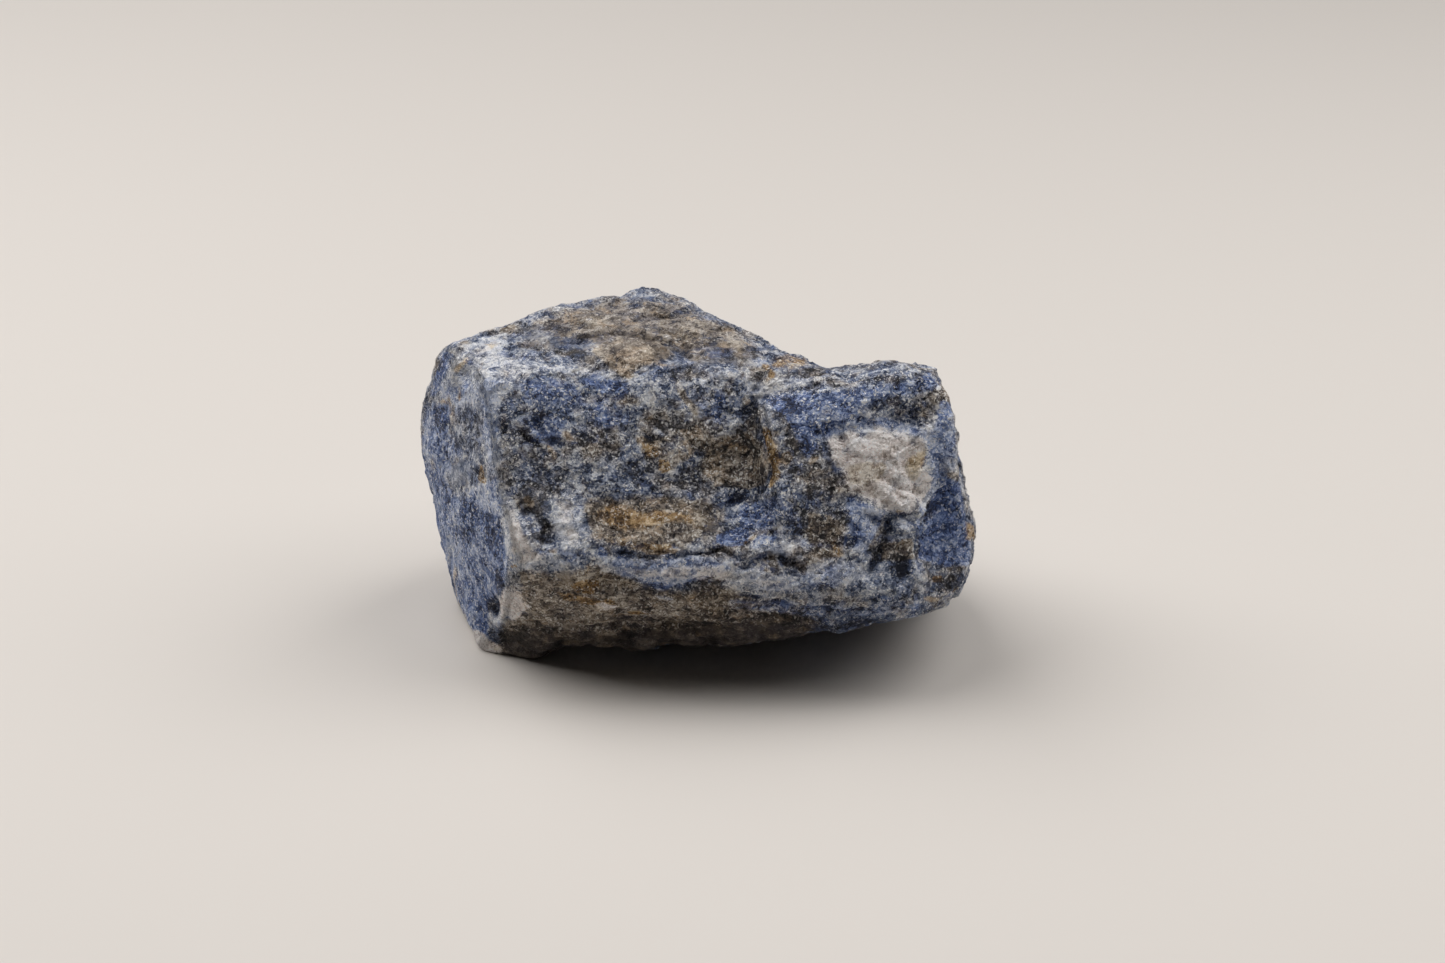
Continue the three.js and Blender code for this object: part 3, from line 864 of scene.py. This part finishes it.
        "shelfBack": area(1.3, 0.9, (592, 514), (614, 504), (642, 511), (676, 511), (690, 518), (664, 524),
            (640, 531), (612, 528)),
        "shelfFoot": streak(0.7, 0.6, (606, 542), (640, 546), (668, 548)),
        "shelfRight": streak(0.8, 0.45, (690, 524), (706, 530)),
        "crustRight": area(0.9, 0.7, (904, 458), (914, 454), (926, 446), (929, 460), (919, 476), (909, 476),
            (907, 466)),
        "cornerA": streak(0.5, 0.8, (456, 369), (463, 362), (467, 358)),
        "cornerB": streak(0.4, 1, (457, 389), (458, 398)),
        "cornerC": streak(0.4, 0.8, (478, 368), (483, 360)),
        "cornerD": streak(0.5, 0.6, (487, 342), (493, 346)),
        "leftTip": streak(0.5, 0.6, (438, 400), (446, 402)),
        "nearRust": area(0.5, 0.6, (640, 440), (654, 441), (662, 452), (656, 462), (642, 456)),
        "recess": streak(0.7, 0.5, (730, 446), (746, 448)),
        "aboveLip": streak(0.6, 0.5, (586, 574), (590, 562)),
        "back": hidden(2.2, 0.6, (-4, 17, 21), (2, 16, 20)),
        "rightBack": hidden(1.8, 0.6, (24, 4, 19), (23, 8, 13)),
    },
    "rust": {
        "face": area(0.2, 1, (658, 460), (668, 460), (671, 468), (664, 475), (658, 470)),
        "faceLeft": streak(0.4, 0.7, (646, 452), (656, 456)),
        "stepLine": streak(0.6, 1.3, (764, 433), (768, 441), (772, 454), (772, 470), (770, 482)),
        "stepHigh": streak(0.35, 1, (764, 434), (768, 438)),
        "lower": area(0.35, 1, (570, 585), (584, 580), (598, 580), (600, 588), (592, 595), (576, 592)),
        "lowerSpot": streak(0.35, 1, (606, 600), (613, 603)),
        "lowerStreak": streak(0.4, 1, (630, 613), (650, 612)),
        "lowerDot": streak(0.35, 0.9, (617, 622), (622, 623)),
        "lowerRight": streak(0.5, 0.6, (690, 600), (704, 596)),
        "left": area(0.15, 1.1, (479, 470), (482, 464), (484, 474), (487, 483), (481, 483), (478, 479)),
        "shelfA": streak(0.3, 1, (615, 511), (617, 513)),
        "shelfB": streak(0.32, 1, (652, 517), (662, 516)),
        "shelfC": streak(0.25, 0.9, (668, 516), (671, 517)),
        "shelfD": streak(0.25, 0.9, (642, 500), (644, 502)),
        "shelfDot": streak(0.22, 1.3, (744, 543), (745, 543)),
        "behindShoulder": streak(0.5, 0.8, (766, 366), (772, 376), (768, 380)),
        "ridge": streak(0.4, 0.5, (812, 470), (810, 484), (808, 498)),
        "brownRidge": streak(0.5, 0.8, (834, 544), (838, 552)),
        "ribBlock": streak(0.35, 0.7, (884, 546), (890, 550)),
        "rightA": streak(0.4, 1, (934, 579), (941, 579)),
        "rightB": streak(0.3, 1.1, (957, 572), (963, 575)),
        "rightC": streak(0.25, 1, (953, 591), (958, 588)),
        "crustRed": streak(0.2, 0.8, (880, 440), (883, 440)),
        "leftSpot": streak(0.25, 0.8, (512, 566), (516, 566)),
        "ledge": streak(0.35, 0.7, (589, 564), (590, 568)),
        "back": hidden(0.6, 0.9, (-1, 17, 19), (1, 17, 18)),
        "backLow": hidden(0.6, 0.9, (-12, 18, 6), (-11, 18, 5)),
        "rightBack": hidden(0.5, 0.9, (24, 5, 17), (24, 6, 16)),
    },
    "crust": {
        "footWhite": area(0.6, 1.25, (500, 600), (506, 588), (513, 594), (519, 592), (523, 602), (529, 607),
            (522, 611), (519, 617), (512, 620), (508, 614), (502, 618)),
        "footStrip": streak(0.6, 0.45, (510, 570), (514, 584), (512, 596)),
        "leftBody": area(0.6, 0.62, (505, 494), (514, 506), (524, 530), (534, 550), (552, 552), (540, 562),
            (516, 566), (510, 548), (508, 520)),
        "rightOfPit": area(1.2, 0.5, (556, 500), (576, 500), (580, 530), (588, 546), (566, 550),
            (558, 530)),
        "tip": area(0.5, 0.9, (470, 628), (482, 632), (490, 640), (502, 646), (504, 656), (482, 662),
            (464, 645)),
        "lowerStreak": area(0.3, 0.8, (592, 602), (605, 602), (621, 606), (612, 612), (598, 610)),
        "cornerTop": streak(0.9, 0.5, (478, 350), (498, 344)),
        "body": area(1.5, 1.1, (828, 444), (834, 438), (844, 440), (851, 432), (866, 437), (880, 429),
            (896, 435), (912, 435), (921, 440), (926, 451), (921, 464), (925, 473), (915, 483), (914, 496),
            (916, 509), (902, 511), (889, 508), (877, 504), (865, 496), (853, 491), (848, 484), (845, 474),
            (836, 463), (833, 454)),
        "lip": area(0.9, 0.5, (604, 562), (640, 566), (690, 562), (722, 564), (744, 574), (778, 578),
            (800, 582), (768, 590), (724, 584), (690, 582), (660, 584), (626, 576)),
        "lipRight": area(0.9, 0.3, (800, 574), (826, 562), (850, 564), (868, 570), (880, 580), (860, 590),
            (826, 590), (800, 590)),
        "rightSide": area(0.4, 0.6, (924, 474), (934, 478), (930, 492), (921, 502), (916, 490)),
        "back": hidden(1.6, 0.8, (12, 15, 16), (16, 13, 18)),
    },
    "calm": {
        "lilac": area(0.3, 1, (450, 466), (462, 460), (469, 464), (471, 476), (466, 485), (458, 486),
            (450, 481)),
        "slitFacet": area(0.3, 1, (540, 432), (556, 432), (560, 442), (548, 446), (540, 442)),
        "besidePit": area(0.4, 0.9, (552, 518), (574, 520), (578, 532), (560, 540), (553, 530)),
        "crustGroove": area(0.4, 0.7, (820, 444), (828, 450), (834, 462), (842, 476), (835, 478),
            (825, 466), (820, 455)),
        "arcTop": area(0.25, 0.9, (764, 550), (782, 549), (798, 556), (792, 560), (780, 555), (766, 555)),
        "greyShelf": area(0.5, 0.8, (704, 522), (720, 520), (718, 534), (704, 534)),
        "lower": area(0.4, 0.8, (560, 572), (575, 572), (572, 586), (556, 586)),
        "corner": area(0.6, 0.6, (466, 344), (500, 336), (502, 352), (470, 360)),
        "top": area(1.6, 0.55, (510, 330), (600, 292), (680, 292), (760, 345), (760, 374), (690, 372),
            (620, 372), (520, 352)),
        "underside": area(0.8, 0.7, (500, 632), (640, 630), (760, 620), (830, 626), (820, 650), (500, 665)),
    },
    "bold": {
        "leftLower": area(1, 0.9, (440, 490), (500, 500), (508, 560), (500, 600), (490, 640), (470, 636),
            (450, 560)),
        "face": area(1.2, 1, (498, 400), (520, 378), (620, 386), (752, 384), (770, 440), (770, 490),
            (700, 500), (580, 498), (505, 492)),
        "shoulder": area(1.2, 0.8, (764, 386), (835, 376), (930, 368), (950, 400), (900, 420), (822, 432),
            (850, 520), (860, 560), (780, 550), (735, 545), (735, 505), (772, 490), (780, 440)),
    },
}
outlineScale = 9.9  # columns of the frame to a millimetre of the stone
leastRise = 1e-9  # keeps the slope of a level edge finite
mostShare = 0.999  # of a place that one mark may cover


# How far inside an outline of the frame each shown point is, in millimetres on the stone.
def insideOutline(shown, corners):
    corners = np.array(corners, float)
    best = np.full(len(shown), farAway)
    inside = np.zeros(len(shown), bool)
    for start, end in zip(corners, np.roll(corners, -1, 0)):
        way = end - start
        share = ((shown - start) @ way / (way @ way)).clip(0, 1)
        best = np.minimum(best, np.linalg.norm(shown - start - share[:, None] * way, axis=1))
        crosses = (start[1] > shown[:, 1]) != (end[1] > shown[:, 1])
        slope = (end[0] - start[0]) / (end[1] - start[1] + leastRise)
        inside ^= crosses & (shown[:, 0] < start[0] + (shown[:, 1] - start[1]) * slope)
    return np.where(inside, best, -best) / outlineScale


view = {
    "facePasses": 20,
    "leastFacing": 0.35,  # faces turned further away than this aren't tried
    "slack": 1.2,  # what may stand in front of a point that still counts as seen
    "fadePasses": 3,
}


# Which points of the stone the camera has in view.
def inView(mesh, points, normals):
    place = np.array(cameraAxes()[0])
    whole = target(mesh, points)
    away = points - place
    distance = np.linalg.norm(away, axis=1)
    ways = away / distance[:, None]
    shown = np.zeros(len(points))
    for i in np.flatnonzero(np.einsum("ij,ij->i", ways, normals) < view["leastFacing"]):
        hit = whole.ray_cast(Vector(place), Vector(ways[i]))[3]
        shown[i] = hit is not None and hit > distance[i] - view["slack"]
    return near.smoothed(shown[:, None], view["fadePasses"])[:, 0]


facing = inView(stone.data, points, near.smoothed(normals, view["facePasses"]))
shown = shownAt(points)
for name, daubs in stainsAndShade.items():
    left = np.ones(len(points))
    for daub in daubs.values():
        if "area" in daub:
            depth = insideOutline(shown, daub["area"])
            share = shareBetween(depth, -daub["soft"], daub["soft"]) * facing
        else:
            share = np.exp(-((fromLine(points, lineOf(daub)) / daub["reach"]) ** 2))
        left *= 1 - (daub["strength"] * share).clip(0, mostShare)
    keepAttribute(stone.data, name, 1 - left)
print("stage: stained,", len(stainsAndShade), "colours")

# Even steps from dark to pale of each colour of the stone.
ramps = {
    "navy": ("131b2f", "384768", "6c7993", "a5adbf", "e6e8eb"),
    "grey": ("15161a", "43444c", "75757d", "abaaae", "e8e6e4"),
    "blue": ("121d3a", "334a79", "5f76ac", "8fa2ca", "d1d8e8"),
    "brown": ("1a1511", "4b4036", "7f715f", "b1a28e", "e5dccd"),
    "haze": ("465472", "7c8aaa", "abb5cd", "d0d5e2", "f0f1f3"),
    "crust": ("6e5b50", "b5a196", "dccdc4", "f2e6e0", "fcf6f3"),
    "tan": ("33291f", "70614f", "a6937f", "cbb9a4", "ece3d6"),
    "ochre": ("2c1f10", "6e5029", "a37e48", "cba976", "ead9bb"),
    "rust": ("130c07", "3a2613", "705128", "a5834f", "d4b98e"),
}
finish = {
    "grain": 0.42,  # size in millimetres, as the others
    "grainLength": 1.9,  # along the layers, times the grain
    "fineGrain": 0.17,
    "fineApart": (31, 17, 5),  # shifts each pattern, so that none follows another
    "wander": {"scale": 1.6, "detail": 3, "roughness": 0.65},  # of the borders between the grains
    "wanderLength": 0.9,
    "ragged": {"scale": 0.8, "detail": 4, "roughness": 0.65},  # the edges of the stains
    "pits": {"scale": 3.2, "detail": 4, "roughness": 0.7},
    "patch": {"size": 3.2, "detail": 5, "roughness": 0.68, "apart": (5, 8, 2)},
    "hue": {"size": 4, "detail": 4, "roughness": 0.65, "apart": (9, 40, 3)},
    "speck": {"size": 1.8, "detail": 4, "roughness": 0.6, "apart": (3, 3, 3)},
    "clump": {"size": 1.1, "length": 1.5, "detail": 5, "roughness": 0.7},
    "streak": {"size": 0.7, "length": 6, "detail": 4, "roughness": 0.65},
    "layeredUpTo": (6.5, 9.5),  # height over which the layers of the foot fade out
    "layered": {"lessUpright": 0.4, "moreLow": 0.9, "lessGrainsLow": 0.25},
    "stainEdge": {"noise": 1.6, "grain": 0.26, "fine": 0.12, "withStain": 0.9, "always": 0.08},
    "contrast": {"bold": 0.3, "calm": 0.7, "crust": 0.15},  # more where bold, less on the others
    "tone": {"base": 0.52, "grain": 0.42, "fine": 0.62, "clump": 0.37, "patch": 0.22, "streak": 0.7},
    # The crust paler, and the dark family darker: its own dark patches and its painted shade.
    "stainAndShadeTone": {"crust": 0.5, "dark": 0.34},  # paler, and darker
    # Edges and crests pale a place, partly as wear and partly as painted highlight; in cracks and hollows
    # they fall below 0 and darken it as painted shade.
    "lift": {"edge": 0.2, "crest": 0.2, "pale": 0.3},  # what makes a place pale
    "mostLift": 0.34,  # so that the grains still show in the palest places
    "shoulder": 0.78,  # tone above which the steps get closer together
    "squeeze": 0.5,
    "shade": {"grain": 0.34, "fine": 0.52, "clump": 0.24},
    "liftShade": 2.4,
    "mostShade": 0.14,
    "brownHue": 0.7,
    "coat": {"brown": 0.85, "haze": 0.72, "blue": 0.95, "tan": 0.95, "ochre": 0.85, "rust": 0.9},
    "blueSpeck": {"share": 0.55, "lessOnBrown": 0.5},
    "tanSpeck": {"share": 0.35, "moreOnBrown": 0.55, "lessOnBlue": 0.25},
    "crustSpeck": 0.6,
    # White flecks: partly white grains of the quartz, partly painted glints.
    "fleck": 0.75,
    "fleckColour": "f3f1ee",
    "bumps": {"tilt": 0.9, "pits": 1.6, "clump": 0.5},
    "bump": 0.2,  # millimetres that the grains stand up
    "roughness": 0.62,
    "shiny": 0.34,
    "crustShiny": 0.02,
    "specular": 0.42,
}
# The values at which each pattern begins to count and counts in full.
starts = {
    "stain": (0.3, 0.72),
    "clump": (0.38, 0.62),
    "patch": (0.36, 0.64),
    "navy": (0.42, 0.56),
    "brown": (0.55, 0.66),
    "blueSpeck": (0.54, 0.68),
    "crustSpeck": (0.5, 0.64),
    "tanSpeck": (0.56, 0.66),
    "fleck": (0.86, 0.94),
    "shine": (0.86, 0.96),
}


def named(start, name):
    return start.node("ShaderNodeAttribute", {"attribute_name": name}, output="Fac")


def mottled(place, size, detail, roughness, apart):
    return place.shifted(apart).noise(1 / size, detail, roughness)


def drawnOut(place, upright, size, length, detail, roughness):
    return alongLayers(place, size, upright, length).noise(1, detail, roughness)


# The parts of a tone, each times its share.
def total(shares, **parts):
    return sum((value * shares[name] for name, value in parts.items()), start=0)


def finishQuartz():
    quartz.use_nodes = True
    tree = quartz.node_tree
    tree.nodes.clear()
    start = Wire(tree)
    place = start.node("ShaderNodeTexCoord", output="Object").scaled((1 / mm,) * 3)
    rough = place.shifted(place.noise(**finish["wander"]).other("Color").spread(finish["wanderLength"]))
    upright = named(start, "upright")

    grainSpot = alongLayers(rough, finish["grain"], upright, finish["grainLength"])
    grain = grainSpot.cells(1)
    grainParts = start.node("ShaderNodeSeparateColor", values={0: grain.other("Color")})
    grainTone = grainParts.centred()
    fine = rough.shifted(finish["fineApart"]).cells(1 / finish["fineGrain"])
    fineGreen = start.node("ShaderNodeSeparateColor", values={0: fine.other("Color")}, output="Green")
    fineTone = fineGreen.centred()
    patch = mottled(rough, **finish["patch"])
    hue = mottled(rough, **finish["hue"])
    speck = mottled(rough, **finish["speck"])
    clump = drawnOut(rough, upright, **finish["clump"])
    clumpTone = clump.ramped(*starts["clump"]).centred()
    streaks = drawnOut(rough, upright, **finish["streak"]).centred()

    # Where each stain and each painted shade is, with an edge as ragged as the grains.
    edge = finish["stainEdge"]
    ragged = total(edge, noise=rough.noise(**finish["ragged"]).centred(), grain=grainTone, fine=fineTone)
    there = {}
    for name in stainsAndShade:
        mask = named(start, name)
        there[name] = (mask + ragged * (mask * edge["withStain"] + edge["always"])).ramped(*starts["stain"])

    less = total(finish["contrast"], calm=there["calm"], crust=there["crust"])
    contrast = 1 + there["bold"] * finish["contrast"]["bold"] - less
    low = 1 - start.node("ShaderNodeSeparateXYZ", values={0: place}, output=2).ramped(*finish["layeredUpTo"])
    layered = finish["layered"]
    grains = total(finish["tone"], grain=grainTone, fine=fineTone, clump=clumpTone)
    grains = grains * (1 - low * layered["lessGrainsLow"])
    layering = 1 - upright * layered["lessUpright"] + low * (1 - upright) * layered["moreLow"]
    grains = grains + streaks * layering * finish["tone"]["streak"]
    patches = patch.ramped(*starts["patch"]).centred() * finish["tone"]["patch"]
    # Pale stains, and worn edges partly as painted highlight, lift the tone; cracks and hollows lower it as
    # painted shade.
    lift = total(finish["lift"], edge=named(start, "edge"), crest=named(start, "crest"), pale=there["pale"])
    lift = lift.maths("MINIMUM", lift, finish["mostLift"])
    tone = grains * contrast + patches + finish["tone"]["base"] + lift
    # The crust paler; the dark family darker, as the stone's own dark and as painted shade.
    tone = tone + there["crust"] * finish["stainAndShadeTone"]["crust"] - there["dark"] * finish["stainAndShadeTone"]["dark"]
    above = tone - finish["shoulder"]
    tone = (tone - above.maths("MAXIMUM", above, 0.0) * finish["squeeze"]).clamped()

    def ramp(name):
        return tone.node("ShaderNodeValToRGB", {"colours": ramps[name]}, {0: tone})

    coat = finish["coat"]
    onBlue = finish["blueSpeck"]["share"] - there["brown"] * finish["blueSpeck"]["lessOnBrown"]
    blue = there["blue"] * coat["blue"] + speck.ramped(*starts["blueSpeck"]) * onBlue
    onTan = finish["tanSpeck"]["share"] + there["brown"] * finish["tanSpeck"]["moreOnBrown"]
    onTan = onTan - there["blue"] * finish["tanSpeck"]["lessOnBlue"]
    tan = there["tan"] * coat["tan"] + (1 - speck).ramped(*starts["tanSpeck"]) * onTan
    crustSpecks = speck.ramped(*starts["crustSpeck"]) * finish["crustSpeck"]
    # White flecks, partly white grains of the quartz and partly painted glints, more where the tone is pale.
    flecksAndGlints = fineGreen.ramped(*starts["fleck"]) * contrast * finish["fleck"] * tone
    coats = (
        ((1 - hue).ramped(*starts["brown"]) * finish["brownHue"], ramp("brown")),
        (there["brown"] * coat["brown"], ramp("brown")),
        (there["pale"] * coat["haze"], ramp("haze")),
        (blue.clamped(), ramp("blue")),
        (there["crust"], tone.blend(crustSpecks, ramp("crust"), ramp("haze"))),
        (tan.clamped(), ramp("tan")),
        (there["ochre"] * coat["ochre"], ramp("ochre")),
        (there["rust"] * coat["rust"], ramp("rust")),
        (flecksAndGlints.clamped(), paint(finish["fleckColour"])),
    )
    colour = tone.blend(hue.ramped(*starts["navy"]), ramp("grey"), ramp("navy"))
    for share, over in coats:
        colour = tone.blend(share, colour, over)

    # The palest places lose the tone of their grains, so the colour itself is shaded there.
    shade = total(finish["shade"], grain=grainTone, fine=fineTone, clump=clumpTone)
    shade = shade * (lift * finish["liftShade"] + there["crust"]).clamped()
    shade = shade.maths("MINIMUM", shade, finish["mostShade"]) + 1
    colour = colour.vectors("SCALE", {0: colour, "Scale": shade})

    off = grainSpot.vectors("SUBTRACT", {0: grain.other("Position"), 1: grainSpot})
    tilt = off.vectors("DOT_PRODUCT", {0: off, 1: grain.other("Color").spread(1)}, "Value")
    pits = rough.noise(**finish["pits"]).centred()
    bumps = total(finish["bumps"], tilt=tilt, pits=pits, clump=clump) + streaks
    values = {"Height": bumps, "Strength": 1.0, "Distance": finish["bump"] * mm}
    normal = start.node("ShaderNodeBump", values=values)
    shine = grainParts.other("Blue").ramped(*starts["shine"])
    values = {
        "Base Color": colour,
        "Roughness": finish["roughness"] - shine * finish["shiny"] - there["crust"] * finish["crustShiny"],
        "Normal": normal,
        "IOR": 1.5,
        "Specular IOR Level": finish["specular"],
    }
    shader = start.node("ShaderNodeBsdfPrincipled", values=values)
    start.node("ShaderNodeOutputMaterial", values={"Surface": shader})


finishQuartz()
print("stage: material")

# A wide pale table under two soft boxes, behind it to the left and beside it to the right.
studio = {
    "tableSize": 6.0,  # metres, as the places and sizes of the boxes
    "table": "d8d3cd",
    "tableRoughness": 0.85,
    "tableSpecular": 0.2,
    "boxes": {
        "left": {"place": (-0.265, 0.1, 0.415), "aim": (0.05, -0.5, 0), "size": 0.5, "power": 2.85},
        "right": {"place": (0.308, 0, 0.394), "aim": (0, -0.5, 0), "size": 0.5, "power": 1.98},
    },
    "boxColour": "fffdfc",
    "room": "f2efee",
    "roomStrength": 0.025,
}


def addTable():
    half = studio["tableSize"] / 2
    mesh = bpy.data.meshes.new("table")
    corners = [(-half, -half, 0), (half, -half, 0), (half, half, 0), (-half, half, 0)]
    mesh.from_pydata(corners, [], [(0, 1, 2, 3)])
    table = bpy.data.objects.new("table", mesh)
    bpy.context.scene.collection.objects.link(table)
    material = bpy.data.materials.new("pale table")
    material.use_nodes = True
    shader = material.node_tree.nodes["Principled BSDF"]
    shader.inputs["Base Color"].default_value = paint(studio["table"])
    shader.inputs["Roughness"].default_value = studio["tableRoughness"]
    shader.inputs["Specular IOR Level"].default_value = studio["tableSpecular"]
    mesh.materials.append(material)


def addBox(name, place, aim, size, power):
    data = bpy.data.lights.new(name, "AREA")
    data.shape = "SQUARE"
    data.size = size
    data.energy = power
    data.color = paint(studio["boxColour"])[:3]
    lamp = bpy.data.objects.new(name, data)
    lamp.location = place
    lamp.rotation_euler = (Vector(aim) - Vector(place)).to_track_quat("-Z", "Y").to_euler()
    bpy.context.scene.collection.objects.link(lamp)


def addLights():
    for name, box in studio["boxes"].items():
        addBox(name, **box)
    world = bpy.data.worlds.new("room")
    world.use_nodes = True
    ground = world.node_tree.nodes["Background"]
    ground.inputs["Color"].default_value = paint(studio["room"])
    ground.inputs["Strength"].default_value = studio["roomStrength"]
    bpy.context.scene.world = world


addTable()
addLights()
bpy.context.scene.view_settings.view_transform = "Standard"
print("stage: studio")

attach(stone, "root")
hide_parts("stone")
